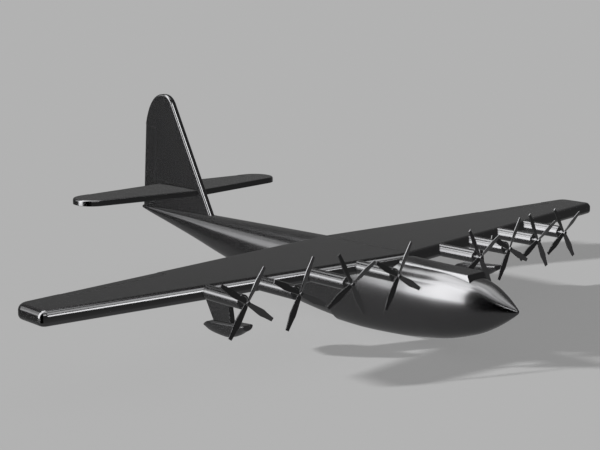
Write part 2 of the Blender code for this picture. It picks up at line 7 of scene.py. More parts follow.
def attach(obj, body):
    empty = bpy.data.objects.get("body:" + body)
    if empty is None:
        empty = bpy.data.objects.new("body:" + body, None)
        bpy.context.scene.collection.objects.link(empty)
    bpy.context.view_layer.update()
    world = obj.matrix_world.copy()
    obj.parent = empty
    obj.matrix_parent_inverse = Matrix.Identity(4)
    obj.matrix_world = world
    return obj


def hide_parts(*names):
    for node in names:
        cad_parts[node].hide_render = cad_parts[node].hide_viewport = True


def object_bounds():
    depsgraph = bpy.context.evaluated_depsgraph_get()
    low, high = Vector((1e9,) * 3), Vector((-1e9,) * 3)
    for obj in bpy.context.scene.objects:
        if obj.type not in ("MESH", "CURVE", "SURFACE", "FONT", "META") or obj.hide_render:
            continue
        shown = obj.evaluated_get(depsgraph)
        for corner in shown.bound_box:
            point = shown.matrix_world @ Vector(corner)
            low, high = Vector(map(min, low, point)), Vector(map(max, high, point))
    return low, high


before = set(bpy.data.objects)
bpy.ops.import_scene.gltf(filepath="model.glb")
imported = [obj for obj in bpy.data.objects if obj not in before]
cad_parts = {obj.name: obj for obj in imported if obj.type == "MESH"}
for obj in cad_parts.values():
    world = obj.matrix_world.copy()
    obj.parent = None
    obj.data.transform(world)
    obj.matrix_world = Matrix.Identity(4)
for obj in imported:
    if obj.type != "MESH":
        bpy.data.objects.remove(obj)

cad_low, cad_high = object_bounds()

# Shading
SMOOTH_ANGLE = math.radians(32)

# Modelling: how near counts as one point and as the same place, how squarely a picked face looks
# ahead or astern, and the gap between pieces that touch
MERGE_DISTANCE = 0.00002
SAME_PLACE = 0.0001
FACING = 0.9
GAP = 0.0003

# Facets across rounded edges
FACETS_PER_ROOT_METRE = 40
FEWEST_FACETS = 2
SMALL_EDGE_FACETS = 3
TIP_FACETS = 14

# Hinges of the control surfaces. The step is how far a surface lies below the skin around it
HINGE_CLEARANCE = 0.006
HINGE_STEP = 0.003
HINGE_LIP_LEAST = 0.010
COVE_FACETS = 28
CUTTER_REACH = 0.3
# The nose is a half circle, less a hair that keeps its two bevels apart
NOSE_FULLNESS = 0.999
NOSE_FACETS = 12
SURFACE_UPPER_FACETS = 10

# Wing
HALF_SPAN = 4.877
WING_TOP = 0.7948
WING_THICKNESS = 0.1685
WING_LEADING_ROOT = 0.5656
WING_LEADING_SLOPE = -0.1218
WING_TRAILING_ROOT = -1.0049
WING_TRAILING_SLOPE = 0.0859
WING_UPPER_ROUND = 0.0743
WING_LOWER_ROUND = 0.0496
WING_TIP_FRONT_ROUND = 0.085
WING_TIP_REAR_ROUND = 0.157
WING_CENTRE_GROOVE = 0.010
AILERON_INNER = 2.92
AILERON_OUTER = 4.31
AILERON_CHORD = 0.18
AILERON_TRAVEL = math.radians(20)

# Tail
TAIL_HALF_SPAN = 1.808
TAIL_TOP = 1.0921
TAIL_THICKNESS = 0.0842
TAIL_LEADING_ROOT = -3.5857
TAIL_LEADING_SLOPE = -0.150
TAIL_TRAILING_ROOT = -4.5539
TAIL_TRAILING_SLOPE = 0.094
TAIL_UPPER_ROUND = 0.0277
TAIL_LOWER_ROUND = 0.004
TAIL_TIP_ROUND = 0.285
ELEVATOR_INNER = 0.07
ELEVATOR_OUTER = 1.40
ELEVATOR_CHORD = 0.208
ELEVATOR_TRAVEL = math.radians(22)

# Fin and rudder, in side view
FIN_THICKNESS = 0.0922
FIN_ROUND = 0.0258
FIN_FOOT = 0.6541
FIN_FRONT_X = -3.2487
FIN_SHOULDER = (-4.1773, 2.3141)
FIN_CREST = (-4.4201, 2.4638)
FIN_REAR_SHOULDER = (-4.8592, 2.0029)
FIN_HEEL_X = -4.9632
FIN_FRONT_PULL = 0.9
FIN_REAR_BULGE = 0.089
RUDDER_BOTTOM = 0.793
RUDDER_TOP = 1.942
RUDDER_CHORD = 0.2775
RUDDER_TRAVEL = math.radians(25)

# Engines, inner to outer on each side
ENGINE_Y = (0.758, 1.457, 2.185, 2.889)
ENGINE_Z = 0.7106
INNER_HUB_X = 1.0773
HUB_SWEEP = -0.1093
NACELLE_RADIUS = 0.0837
NACELLE_FRONT = -0.0624
NACELLE_REAR = -0.7197
NACELLE_RIM = 0.012
NACELLE_RIM_FACETS = 8
NACELLE_SIDES = 80
INTAKE_RADIUS = 0.0634
INTAKE_DEPTH = 0.030
INTAKE_RIM = 0.003
SHAFT_BORE_RADIUS = 0.018
SHAFT_BORE_DEPTH = 0.030

# Propellers
BLADE_COUNT = 4
PROPELLER_RADIUS = 0.434
HUB_RADIUS = 0.026
HUB_REAR = -0.050
HUB_FRONT = 0.034
HUB_RIM = 0.009
HUB_RIM_FACETS = 6
HUB_SIDES = 48
SHAFT_RADIUS = 0.012
SHAFT_REAR = -0.112
BLADE_EDGE = 0.0035
BLADE_STATION = 0.012
# How far the first blade leans from upright towards port, starboard outer to port outer
BLADE_ANGLES = (34.6, 27.3, 60.7, 29.5, 59.0, 28.3, 60.6, 55.2)
# Blade stations: distance from the shaft, chord, thickness, pitch in degrees
BLADE = (
    (0.012, 0.030, 0.015, 30.0),
    (0.050, 0.052, 0.015, 26.0),
    (0.080, 0.056, 0.014, 24.0),
    (0.178, 0.072, 0.014, 17.0),
    (0.255, 0.081, 0.014, 13.0),
    (0.307, 0.068, 0.013, 12.0),
    (0.357, 0.058, 0.013, 11.0),
    (PROPELLER_RADIUS, 0.045, 0.012, 10.0),
)

# Hull stations: x, keel, top, half beam, height of the greatest beam. The planing bottom steps up
# between the fore hull and the after hull.
HULL = (
    (
        (-5.024, 0.649, 0.694, 0.020, 0.672),
        (-4.789, 0.602, 0.706, 0.064, 0.662),
        (-4.179, 0.480, 0.725, 0.134, 0.624),
        (-3.595, 0.355, 0.741, 0.193, 0.575),
        (-3.036, 0.223, 0.750, 0.248, 0.520),
        (-2.180, 0.030, 0.763, 0.312, 0.446),
        (-1.397, -0.149, 0.775, 0.352, 0.396),
        (-0.993, -0.205, 0.781, 0.364, 0.382),
        (-0.555, -0.248, 0.783, 0.372, 0.372),
    ),
    (
        (-0.549, -0.281, 0.783, 0.372, 0.372),
        (-0.097, -0.289, 0.779, 0.377, 0.367),
        (0.528, -0.255, 0.707, 0.377, 0.367),
        (0.926, -0.205, 0.707, 0.375, 0.367),
        (1.306, -0.137, 0.703, 0.357, 0.372),
        (1.672, -0.020, 0.650, 0.297, 0.388),
        (1.848, 0.061, 0.595, 0.243, 0.396),
        (2.021, 0.166, 0.507, 0.168, 0.392),
        (2.188, 0.287, 0.418, 0.069, 0.369),
        (2.242, 0.332, 0.387, 0.030, 0.363),
        (2.256, 0.349, 0.374, 0.013, 0.362),
    ),
)
# Fullness of the upper and lower half of each section: 2 is an ellipse, and more is squarer
HULL_UPPER_POWER = 2.5
HULL_LOWER_POWER = 2.15
HULL_POINTS = 96
HULL_STATION = 0.05
HULL_END_ROUND = 0.004

# Canopy block on the bow. Crown: x, and how far it rises there above the side edges
CANOPY_TOP = 0.7185
CANOPY_BOTTOM = 0.555
CANOPY_HALF_WIDTH = 0.1586
CANOPY_FRONT_TOP = 1.6253
CANOPY_FRONT_BOTTOM = 1.6997
CANOPY_ROUND = 0.012
CANOPY_FACETS = 5
CANOPY_SHARP = math.radians(40)
CANOPY_STATION = 0.05
CANOPY_POINTS = 24
CANOPY_CROWN = (
    (0.480, 0.036),
    (0.650, 0.034),
    (0.850, 0.024),
    (1.050, 0.010),
    (1.250, 0.0),
    (CANOPY_FRONT_TOP, 0.0),
)

# Wing floats and their pylons. Their power is as the hull's. Float stations: x, keel, deck, half beam
FLOAT_Y = 2.309
FLOAT_EDGE = 0.010
FLOAT_EDGE_FACETS = 5
FLOAT_POWER = 2.1
FLOAT_POINTS = 28
FLOAT_STATION = 0.025
FLOAT = (
    (-0.585, 0.077, 0.099, 0.046),
    (-0.570, 0.065, 0.109, 0.052),
    (-0.510, 0.035, 0.145, 0.067),
    (-0.416, 0.019, 0.163, 0.083),
    (-0.277, 0.010, 0.175, 0.094),
    (-0.164, 0.009, 0.186, 0.095),
    (-0.050, 0.037, 0.197, 0.094),
    (0.050, 0.079, 0.206, 0.090),
    (0.129, 0.128, 0.214, 0.083),
    (0.170, 0.150, 0.218, 0.078),
    (0.177, 0.158, 0.212, 0.071),
)
PYLON_THICKNESS = 0.072
PYLON_FOOT_Z = 0.099
PYLON_EDGE = 0.003
# Pylon corners in side view: x at the foot and at the top
PYLON_FRONT = (-0.0743, -0.1685)
PYLON_REAR = (-0.3617, -0.6838)

# Lacquer and the matt painted shade of the hinges: widths of their patterns, and how strongly they show
MILLIMETRE = 0.001
CLOUD_WIDTH = 350 * MILLIMETRE
PATCH_WIDTH = 60 * MILLIMETRE
PEEL_WIDTH = 14 * MILLIMETRE
PEEL_DEPTH = 1 * MILLIMETRE
PEEL_STRENGTH = 0.003
HAZE = 0.006
HAZE_NOISE_LOW = 0.3
HAZE_NOISE_HIGH = 0.7
# Painted shade in gaps and joints: how far the ambient occlusion darkening reaches, and its samples
OCCLUSION_SHADE_REACH = 30 * MILLIMETRE
OCCLUSION_SHADE_SAMPLES = 6
RUB_WIDTH = 25 * MILLIMETRE
# The matt painted shade in the hinge gaps: its roughness and specular level
SHADE_MATT_ROUGHNESS = 0.7
SHADE_MATT_SPECULAR = 0.3

# What the lacquer mirrors, by direction in degrees, and how bright it is. Windows: azimuth, half
# width, elevation, half height, brightness
GROUND_BRIGHTNESS = 0.24
ROOM_BRIGHTNESS = 0.10
HORIZON = -16
WINDOWS = (
    (-116.5, 14, 20.5, 32, 6.6),
    (-126, 21, 54, 22, 5.6),
    (-141, 12, 17, 10, 2.1),
    (-160, 9, 27, 8, 1.1),
    (-172, 24, 66, 13, 5.0),
    (160, 22, 63, 17, 4.0),
    (128, 37, 74, 10, 2.6),
    (75, 20, 76, 10, 2.6),
    (0, 181, 82, 10, 1.2),
    (-24, 26, 44, 5, 6.0),
    (140, 40, 14, 28, 0.15),
)
WINDOW_EDGE = 5
# A black flag beside the windows: azimuth, half width, elevation, half height
FLAG = (-70, 20, 10, 34)

# Floor and its lights, with angles in degrees
BACKDROP = "#B2B2B2"
FLOOR_COLOUR = "#969696"
FLOOR_DEEPER = "#949494"
FLOOR_SIZE = 6000
GRAIN_WIDTH = 2 * MILLIMETRE
AMBIENT = 0.1
FILL_STRENGTH = 2.51
KEY_AZIMUTH = -119
KEY_ELEVATION = 14
KEY_STRENGTH = 7.58
KEY_WIDTH = 1.5

# Shadowless lights for single pieces, which see the near lights of the picture from another angle
# than the rest: azimuth, elevation and width in degrees, strength, pieces
WING_SKINS = ("wing_port_skin", "wing_starboard_skin")
PIECE_LIGHTS = (
    ("wing_edge", 23, 17, 18, 0.54, WING_SKINS),
    ("wing_upper_edge", 40, 46, 30, 0.42, WING_SKINS),
    ("fin_edge", 8, 44, 22, 0.92, ("fin_skin",)),
    ("canopy_side", -129, -11, 26, 0.80, ("canopy_block",)),
    ("bow_upper", 108, 54, 32, 0.48, ("hull_skin",)),
    ("nacelle_side", -138, 13, 22, 0.29, ["nacelle_%d_skin" % number for number in (1, 2, 3, 4)]),
)

# Camera
CAMERA_PLACE = (10.4413, -11.1028, 3.9611)
CAMERA_YAW = math.radians(136.894)
CAMERA_PITCH = math.radians(-10.766)
CAMERA_ROLL = math.radians(0.115)
CAMERA_LENS = 73.1
CAMERA_SENSOR = 36


# Reading the tables

def blend(table, x, column):
    """Reads a column of a table along its first one, on a smooth curve through its rows."""
    index = 0
    while index < len(table) - 2 and x > table[index + 1][0]:
        index += 1
    slopes = []
    for k in (index, index + 1):
        below = table[max(k - 1, 0)]
        above = table[min(k + 1, len(table) - 1)]
        slopes.append((above[column] - below[column]) / (above[0] - below[0]))
    left = table[index]
    right = table[index + 1]
    width = right[0] - left[0]
    t = (x - left[0]) / width
    h00 = 2 * t ** 3 - 3 * t ** 2 + 1
    h10 = t ** 3 - 2 * t ** 2 + t
    h01 = -2 * t ** 3 + 3 * t ** 2
    h11 = t ** 3 - t ** 2
    return h00 * left[column] + h10 * width * slopes[0] + h01 * right[column] + h11 * width * slopes[1]


def stations(table, spacing):
    """Evenly spaced places along a table, with every row of it among them."""
    places = []
    for left, right in zip(table, table[1:]):
        count = max(1, round((right[0] - left[0]) / spacing))
        places += [left[0] + (right[0] - left[0]) * i / count for i in range(count)]
    return places + [table[-1][0]]


def arc(centre, radius, start, end, steps):
    """Points along an arc in degrees, both ends included."""
    points = []
    for i in range(steps + 1):
        angle = math.radians(start + (end - start) * i / steps)
        points.append((centre[0] + radius * math.cos(angle), centre[1] + radius * math.sin(angle)))
    return points


def corner(before, at, after, radius, steps):
    """An arc that rounds the corner between two straight edges of an outline."""
    at = Vector(at)
    to_before = (Vector(before) - at).normalized()
    to_after = (Vector(after) - at).normalized()
    half_angle = to_before.angle(to_after) / 2
    reach = radius / math.tan(half_angle)
    centre = at + (to_before + to_after).normalized() * radius / math.sin(half_angle)
    start = at + to_before * reach - centre
    end = at + to_after * reach - centre
    first = math.degrees(math.atan2(start.y, start.x))
    turn = (math.degrees(math.atan2(end.y, end.x)) - first + 180) % 360 - 180
    return arc(centre, radius, first, first + turn, steps)


# Working on a mesh as by hand

SELECT_MODES = {
    "points": (True, False, False),
    "edges": (False, True, False),
    "faces": (False, False, True),
}


def choose(piece):
    """Selects this piece alone, and makes it the one that operators work on."""
    bpy.ops.object.select_all(action='DESELECT')
    piece.select_set(True)
    bpy.context.view_layer.objects.active = piece


def pick(piece, kind, wanted):
    """Opens the piece for editing with the points, edges or faces chosen by their place."""
    mesh = piece.data
    choose(piece)
    bpy.context.tool_settings.mesh_select_mode = SELECT_MODES[kind]
    for group in (mesh.vertices, mesh.edges, mesh.polygons):
        group.foreach_set("select", [False] * len(group))
    if kind == "points":
        chosen = [v for v in mesh.vertices if wanted(v.co)]
    elif kind == "edges":
        chosen = [e for e in mesh.edges if wanted(*(mesh.vertices[i].co for i in e.vertices))]
    else:
        chosen = [f for f in mesh.polygons if wanted(f.center, f.normal)]
    for item in chosen:
        item.select = True
        if kind != "points":
            for i in item.vertices:
                mesh.vertices[i].select = True
    bpy.ops.object.mode_set(mode='EDIT')


def done():
    """Closes the piece again after an edit."""
    bpy.ops.object.mode_set(mode='OBJECT')


def everything(*place):
    """Passes every point, edge or face."""
    return True


def outward(piece):
    """Merges the piece's doubled points and turns its faces outward."""
    pick(piece, "points", everything)
    bpy.ops.mesh.remove_doubles(threshold=MERGE_DISTANCE)
    bpy.ops.mesh.normals_make_consistent(inside=False)
    done()


def primitive(operator, name, **settings):
    """Adds a primitive and lays its place, turn and scale into its mesh."""
    bpy.ops.object.select_all(action='DESELECT')
    operator(**settings)
    piece = bpy.context.object
    piece.name = name
    bpy.ops.object.transform_apply(location=True, rotation=True, scale=True)
    return piece


def move(piece, matrix):
    """Carries the piece to its place, and leaves that place in its mesh."""
    choose(piece)
    piece.matrix_world = matrix
    bpy.ops.object.transform_apply(location=True, rotation=True, scale=True)


def duplicate(piece, name):
    """A copy of the piece with its own mesh."""
    choose(piece)
    bpy.ops.object.duplicate(linked=False)
    copy = bpy.context.object
    copy.name = name
    return copy


def mirrored(piece, name):
    """The same piece on the starboard side."""
    copy = duplicate(piece, name)
    pick(copy, "points", everything)
    bpy.ops.transform.mirror(constraint_axis=(False, True, False), center_override=(0, 0, 0))
    bpy.ops.mesh.normals_make_consistent(inside=False)
    done()
    return copy


def apply_modifier(piece, kind, **settings):
    """Adds a modifier with its settings and applies it."""
    choose(piece)
    modifier = piece.modifiers.new(kind.lower(), kind)
    for key, value in settings.items():
        setattr(modifier, key, value)
    bpy.ops.object.modifier_apply(modifier=modifier.name)


def combine(piece, other, operation):
    """Cuts the other shape out of the piece, or welds it on, and takes the other away."""
    apply_modifier(piece, 'BOOLEAN', operation=operation, solver='EXACT', object=other)
    bpy.data.objects.remove(other, do_unlink=True)


def loft(name, sections):
    """A grid rolled round a row of closed sections, with its seam merged and both ends filled."""
    around = len(sections[0])
    skin = primitive(bpy.ops.mesh.primitive_grid_add, name, x_subdivisions=around,
                     y_subdivisions=len(sections) - 1, size=1)
    places = []
    for section in sections:
        places += list(section) + [section[0]]
    skin.data.vertices.foreach_set("co", [value for place in places for value in place])
    pick(skin, "points", everything)
    bpy.ops.mesh.remove_doubles(threshold=MERGE_DISTANCE)
    bpy.ops.mesh.select_all(action='DESELECT')
    bpy.ops.mesh.select_non_manifold()
    bpy.ops.mesh.fill_holes(sides=0)
    bpy.ops.mesh.select_all(action='SELECT')
    bpy.ops.mesh.normals_make_consistent(inside=False)
    done()
    return skin


def facets(radius):
    """How many facets an edge rounded to this radius gets."""
    return max(FEWEST_FACETS, round(FACETS_PER_ROOT_METRE * math.sqrt(radius)))


def slab(name, outline, low, high, upper_round, lower_round, is_root):
    """An outline raised to a slab, with its upper and lower rims rounded except at its root."""
    piece = primitive(bpy.ops.mesh.primitive_circle_add, name, vertices=len(outline), fill_type='NGON')
    for vertex, (x, y) in zip(piece.data.vertices, outline):
        vertex.co = (x, y, low)
    pick(piece, "faces", everything)
    bpy.ops.mesh.extrude_region_move(TRANSFORM_OT_translate={"value": (0, 0, high - low)})
    bpy.ops.mesh.select_all(action='SELECT')
    bpy.ops.mesh.normals_make_consistent(inside=False)
    done()

    def rim(height):
        def test(a, b):
            level = abs(a.z - height) < SAME_PLACE and abs(b.z - height) < SAME_PLACE
            return level and not (is_root(a) and is_root(b))
        return test

    for height, radius in ((high, upper_round), (low, lower_round)):
        pick(piece, "edges", rim(height))
        bpy.ops.mesh.bevel(offset=radius, segments=facets(radius), profile=0.5, affect='EDGES',
                           clamp_overlap=True)
        done()
    return piece


# Control surfaces

def cove_section(nose, lip, chord, height):
    """Section of the bay that a control surface turns in: a round cove between two lips."""
    radius = nose + HINGE_CLEARANCE
    rise = math.degrees(math.acos(lip / radius))
    points = arc((0, 0), radius, -rise, rise, COVE_FACETS)
    points += [(lip, height), (-chord, height), (-chord, -height), (lip, -height)]
    return points


def spanwise_edge(x, z):
    """Tests for an edge along the hinge line's direction, at this x and z."""
    def test(a, b):
        return all(abs(p.x - x) < SAME_PLACE and abs(p.z - z) < SAME_PLACE for p in (a, b))
    return test


def control_surface(name, owner, skin, place, length, chord, thickness, travel, upper_round, lower_round):
    """A surface with a round nose about its hinge line, and the bay cut for it in its owner."""
    half_thickness = thickness / 2
    nose = half_thickness - HINGE_STEP
    lip = (nose + HINGE_CLEARANCE - half_thickness * math.cos(travel)) / math.sin(travel)
    lip = max(lip, HINGE_LIP_LEAST)
    piece = primitive(bpy.ops.mesh.primitive_cube_add, name, size=1,
                      location=((nose - chord) / 2, length / 2, 0), scale=(nose + chord, length, 2 * nose))
    corners = (
        (nose, nose, nose * NOSE_FULLNESS, NOSE_FACETS),
        (nose, -nose, nose * NOSE_FULLNESS, NOSE_FACETS),
        (-chord, nose, upper_round, SURFACE_UPPER_FACETS),
        (-chord, -nose, lower_round, facets(lower_round)),
    )
    for x, z, radius, steps in corners:
        pick(piece, "edges", spanwise_edge(x, z))
        bpy.ops.mesh.bevel(offset=radius, segments=steps, profile=0.5, affect='EDGES', clamp_overlap=False)
        done()
    outward(piece)
    section = cove_section(nose, lip, chord + CUTTER_REACH, thickness)
    ends = (-HINGE_CLEARANCE, length + HINGE_CLEARANCE)
    bay = loft(name + "_bay", [[(x, y, z) for x, z in section] for y in ends])
    for part in (piece, owner, bay):
        part.data.materials.clear()
        part.data.materials.append(skin)
        part.data.materials.append(GAP_SHADE)
    # Before the piece is moved, its nose is all that lies ahead of the hinge line.
    # The nose and the whole bay take the matt painted shade, which stands in for the shade in the hinge gap.
    for face in piece.data.polygons:
        face.material_index = 1 if face.center.x > 0 else 0
    for face in bay.data.polygons:
        face.material_index = 1
    move(piece, place)
    move(bay, place)
    combine(owner, bay, 'DIFFERENCE')
    return piece


# Lacquers

def linear(colour):
    """An sRGB hex colour as linear red, green, blue and alpha."""
    channels = [int(colour[i:i + 2], 16) / 255 for i in (1, 3, 5)]
    return [c / 12.92 if c <= 0.04045 else ((c + 0.055) / 1.055) ** 2.4 for c in channels] + [1.0]


def add(tree, kind, inputs, **properties):
    """Adds a node with its properties, and sets or links the inputs given by name or number."""
    node = tree.nodes.new(kind)
    for key, value in properties.items():
        setattr(node, key, value)
    for key, value in inputs.items():
        if isinstance(value, bpy.types.NodeSocket):
            tree.links.new(value, node.inputs[key])
        else:
            node.inputs[key].default_value = value
    return node


def lacquer(name, colour, deeper, roughness):
    """Dark gunmetal lacquer, sprayed and flatted: the flake makes it mirror like metal."""
    material = bpy.data.materials.new(name)
    material.use_nodes = True
    tree = material.node_tree
    tree.nodes.clear()
    place = add(tree, "ShaderNodeTexCoord", {}).outputs["Object"]
    # Spray passes overlap in soft clouds about 350 mm across.
    clouds = add(tree, "ShaderNodeTexNoise",
                 {"Vector": place, "Scale": 1 / CLOUD_WIDTH, "Detail": 3.0})
    tint = add(tree, "ShaderNodeMix",
               {"Factor": clouds.outputs["Fac"], "A": linear(deeper), "B": linear(colour)}, data_type='RGBA')
    # Painted shade: ambient occlusion darkens the lacquer's colour deep in the hinge gaps and joints.
    shaded_tint = add(tree, "ShaderNodeAmbientOcclusion",
                {"Color": tint.outputs["Result"], "Distance": OCCLUSION_SHADE_REACH}, samples=OCCLUSION_SHADE_SAMPLES)
    # Flatting leaves patches about 60 mm wide a little hazier than the rest.
    patches = add(tree, "ShaderNodeTexNoise",
                  {"Vector": place, "Scale": 1 / PATCH_WIDTH, "Detail": 4.0})
    haze = add(tree, "ShaderNodeMapRange",
               {"Value": patches.outputs["Fac"], "From Min": HAZE_NOISE_LOW, "From Max": HAZE_NOISE_HIGH,
                "To Min": roughness - HAZE, "To Max": roughness + HAZE})
    # Orange peel is 3 mm across on the real lacquer, too fine to show, so it is drawn at 14 mm.
    peel = add(tree, "ShaderNodeTexNoise",
               {"Vector": place, "Scale": 1 / PEEL_WIDTH, "Detail": 2.0})
    relief = add(tree, "ShaderNodeBump",
                 {"Height": peel.outputs["Fac"], "Strength": PEEL_STRENGTH, "Distance": PEEL_DEPTH})
    shader = add(tree, "ShaderNodeBsdfPrincipled",
                 {"Base Color": shaded_tint.outputs["Color"], "Metallic": 1.0, "Roughness": haze.outputs["Result"],
                  "Normal": relief.outputs["Normal"]})
    add(tree, "ShaderNodeOutputMaterial", {"Surface": shader.outputs["BSDF"]})
    return material


def matt_shade(name, colour, worn):
    """Matt near-black painted shade on the noses and in the coves of the hinges, where it only shows as a
    line.
    """
    material = bpy.data.materials.new(name)
    material.use_nodes = True
    tree = material.node_tree
    tree.nodes.clear()
    place = add(tree, "ShaderNodeTexCoord", {}).outputs["Object"]
    # Rubbed patches about 25 mm long are a little paler.
    rubs = add(tree, "ShaderNodeTexNoise",
               {"Vector": place, "Scale": 1 / RUB_WIDTH, "Detail": 3.0})
    tint = add(tree, "ShaderNodeMix",
               {"Factor": rubs.outputs["Fac"], "A": linear(colour), "B": linear(worn)}, data_type='RGBA')
    shader = add(tree, "ShaderNodeBsdfPrincipled",
                 {"Base Color": tint.outputs["Result"], "Roughness": SHADE_MATT_ROUGHNESS,
                  "Specular IOR Level": SHADE_MATT_SPECULAR})
    add(tree, "ShaderNodeOutputMaterial", {"Surface": shader.outputs["BSDF"]})
    return material


# One lacquer all over, rubbed down a little finer on the wings and blades, whose edges show thin
# clear lines of light, than on the hull, whose flank shows soft broad ones.
# Painted shade for the hinge noses, the coves and the wing's centre groove.
GAP_SHADE = matt_shade("hinge_gap_painted_shade", "#1C1C1C", "#2A2A2A")
HULL_LACQUER = lacquer("hull_gunmetal_lacquer", "#686869", "#626263", 0.20)
WING_LACQUER = lacquer("wing_gunmetal_lacquer", "#69696A", "#646465", 0.16)
TAIL_LACQUER = lacquer("tail_gunmetal_lacquer", "#676768", "#626263", 0.18)
NACELLE_LACQUER = lacquer("nacelle_gunmetal_lacquer", "#666667", "#616162", 0.20)
BLADE_LACQUER = lacquer("blade_gunmetal_lacquer", "#646465", "#5E5E5F", 0.13)
FLOAT_LACQUER = lacquer("float_gunmetal_lacquer", "#676768", "#616162", 0.20)


def finish(piece, material, slot, body, *nodes):
    """Shades the piece smooth up to its crisp edges, paints it and ties it to the frame."""
    choose(piece)
    bpy.ops.object.shade_smooth_by_angle(angle=SMOOTH_ANGLE)
    apply_modifier(piece, 'WEIGHTED_NORMAL', keep_sharp=True)
    if not piece.data.materials:
        piece.data.materials.append(material)
    # The lacquer mirrors the studio only, as in the picture.
    piece.visible_glossy = False
    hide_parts(*nodes)
    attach(piece, body)


# Hull and canopy

def hull_section(table, x):
    """An oval whose upper and lower halves have their own fullness."""
    keel, top, half_beam, beam_height = (blend(table, x, column) for column in (1, 2, 3, 4))
    section = []
    for i in range(HULL_POINTS):
        angle = math.tau * i / HULL_POINTS
        across = math.cos(angle)
        up = math.sin(angle)
        if up >= 0:
            power = HULL_UPPER_POWER
            height = top - beam_height
        else:
            power = HULL_LOWER_POWER
            height = beam_height - keel
        y = half_beam * math.copysign(abs(across) ** (2 / power), across)
        z = beam_height + height * math.copysign(abs(up) ** (2 / power), up)
        section.append((x, y, z))
    return section


def build_hull():
    """One skin from stern to bow, with the step across its bottom and both ends softened."""
    sections = []
    for table in HULL:
        sections += [hull_section(table, x) for x in stations(table, HULL_STATION)]
    hull = loft("hull_skin", sections)
    stern = HULL[0][0][0]
    bow = HULL[1][-1][0]

    def end_rim(a, b):
        return any(abs(a.x - x) < SAME_PLACE and abs(b.x - x) < SAME_PLACE for x in (stern, bow))

    pick(hull, "edges", end_rim)
    bpy.ops.mesh.bevel(offset=HULL_END_ROUND, segments=SMALL_EDGE_FACETS, profile=0.5, affect='EDGES',
                       clamp_overlap=True)
    done()
    finish(hull, HULL_LACQUER, "hull_enamel", "airframe", "hull")


def build_canopy():
    """The flat-sided block ahead of the wing, crowned where it meets the wing."""
    rake = (CANOPY_FRONT_BOTTOM - CANOPY_FRONT_TOP) / (CANOPY_TOP - CANOPY_BOTTOM)
    sections = []
    for x in stations(CANOPY_CROWN, CANOPY_STATION):
        crown = blend(CANOPY_CROWN, x, 1)
        points = [(-CANOPY_HALF_WIDTH, CANOPY_BOTTOM), (CANOPY_HALF_WIDTH, CANOPY_BOTTOM)]
        for i in range(CANOPY_POINTS + 1):
            across = 1 - 2 * i / CANOPY_POINTS
            points.append((CANOPY_HALF_WIDTH * across, CANOPY_TOP + crown * (1 - across ** 2)))
        lean = rake if x == CANOPY_FRONT_TOP else 0.0
        sections.append([(x + lean * (CANOPY_TOP - z), y, z) for y, z in points])
    canopy = loft("canopy_block", sections)
    apply_modifier(canopy, 'BEVEL', width=CANOPY_ROUND, segments=CANOPY_FACETS, limit_method='ANGLE',
                   angle_limit=CANOPY_SHARP)
    finish(canopy, HULL_LACQUER, "hull_enamel", "airframe", "canopy")


# Wings and tailplanes, port side first

def finish_both(piece, label, material, slot, moves):
    """Mirrors the port half, and finishes the two."""
    other = mirrored(piece, label + "_starboard_skin")
    for side, half in (("port", piece), ("starboard", other)):
        node = label + "_" + side
        finish(half, material, slot, node if moves else "airframe", node)


def swept_outline(inner, tip, lead_root, lead_slope, trail_root, trail_slope, front_round, rear_round):
    """Half of a tapered wing seen from above, from its root to its rounded tip."""
    lead_tip = (lead_root + lead_slope * tip, tip)
    trail_tip = (trail_root + trail_slope * tip, tip)
    front = corner((lead_root, 0), lead_tip, trail_tip, front_round, TIP_FACETS)
    rear = corner(lead_tip, trail_tip, (trail_root, 0), rear_round, TIP_FACETS)
    root_front = (lead_root + lead_slope * inner, inner)
    root_rear = (trail_root + trail_slope * inner, inner)
    return [root_front] + front + rear + [root_rear]


def hinge_line(trail_root, trail_slope, chord, inner, height):
    """Where a surface hung on a swept trailing edge has its hinge's inner end, and its sweep."""
    place = Matrix.Translation((trail_root + chord + trail_slope * inner, inner, height))
    sweep = math.atan(trail_slope)
    return place @ Matrix.Rotation(-sweep, 4, 'Z'), sweep


def build_wings():
    """Two slabs with rounded rims that meet in a shallow groove, and their ailerons."""
    inner = GAP / 2
    outline = swept_outline(inner, HALF_SPAN, WING_LEADING_ROOT, WING_LEADING_SLOPE, WING_TRAILING_ROOT,
                            WING_TRAILING_SLOPE, WING_TIP_FRONT_ROUND, WING_TIP_REAR_ROUND)

    def at_root(place):
        return abs(place.y - inner) < SAME_PLACE

    wing = slab("wing_port_skin", outline, WING_TOP - WING_THICKNESS, WING_TOP,
                WING_UPPER_ROUND, WING_LOWER_ROUND, at_root)

    def centre_edge(a, b):
        high = min(a.z, b.z) > WING_TOP - SAME_PLACE
        return high and at_root(a) and at_root(b)

    pick(wing, "edges", centre_edge)
    bpy.ops.mesh.bevel(offset=WING_CENTRE_GROOVE, segments=SMALL_EDGE_FACETS, profile=0.5, affect='EDGES')
    done()
    hinge, sweep = hinge_line(WING_TRAILING_ROOT, WING_TRAILING_SLOPE, AILERON_CHORD, AILERON_INNER,
                              WING_TOP - WING_THICKNESS / 2)
    aileron = control_surface("aileron_port_skin", wing, WING_LACQUER, hinge,
                              (AILERON_OUTER - AILERON_INNER) / math.cos(sweep),
                              AILERON_CHORD * math.cos(sweep), WING_THICKNESS, AILERON_TRAVEL,
                              WING_UPPER_ROUND, WING_LOWER_ROUND)
    # The faces in the wing's centre groove take the matt painted shade, so the groove shows as a dark line.
    for face in wing.data.polygons:
        if face.center.y < WING_CENTRE_GROOVE and face.center.z > WING_TOP - WING_CENTRE_GROOVE:
            face.material_index = 1
    finish_both(wing, "wing", WING_LACQUER, "wing_enamel", False)
    finish_both(aileron, "aileron", WING_LACQUER, "wing_enamel", True)


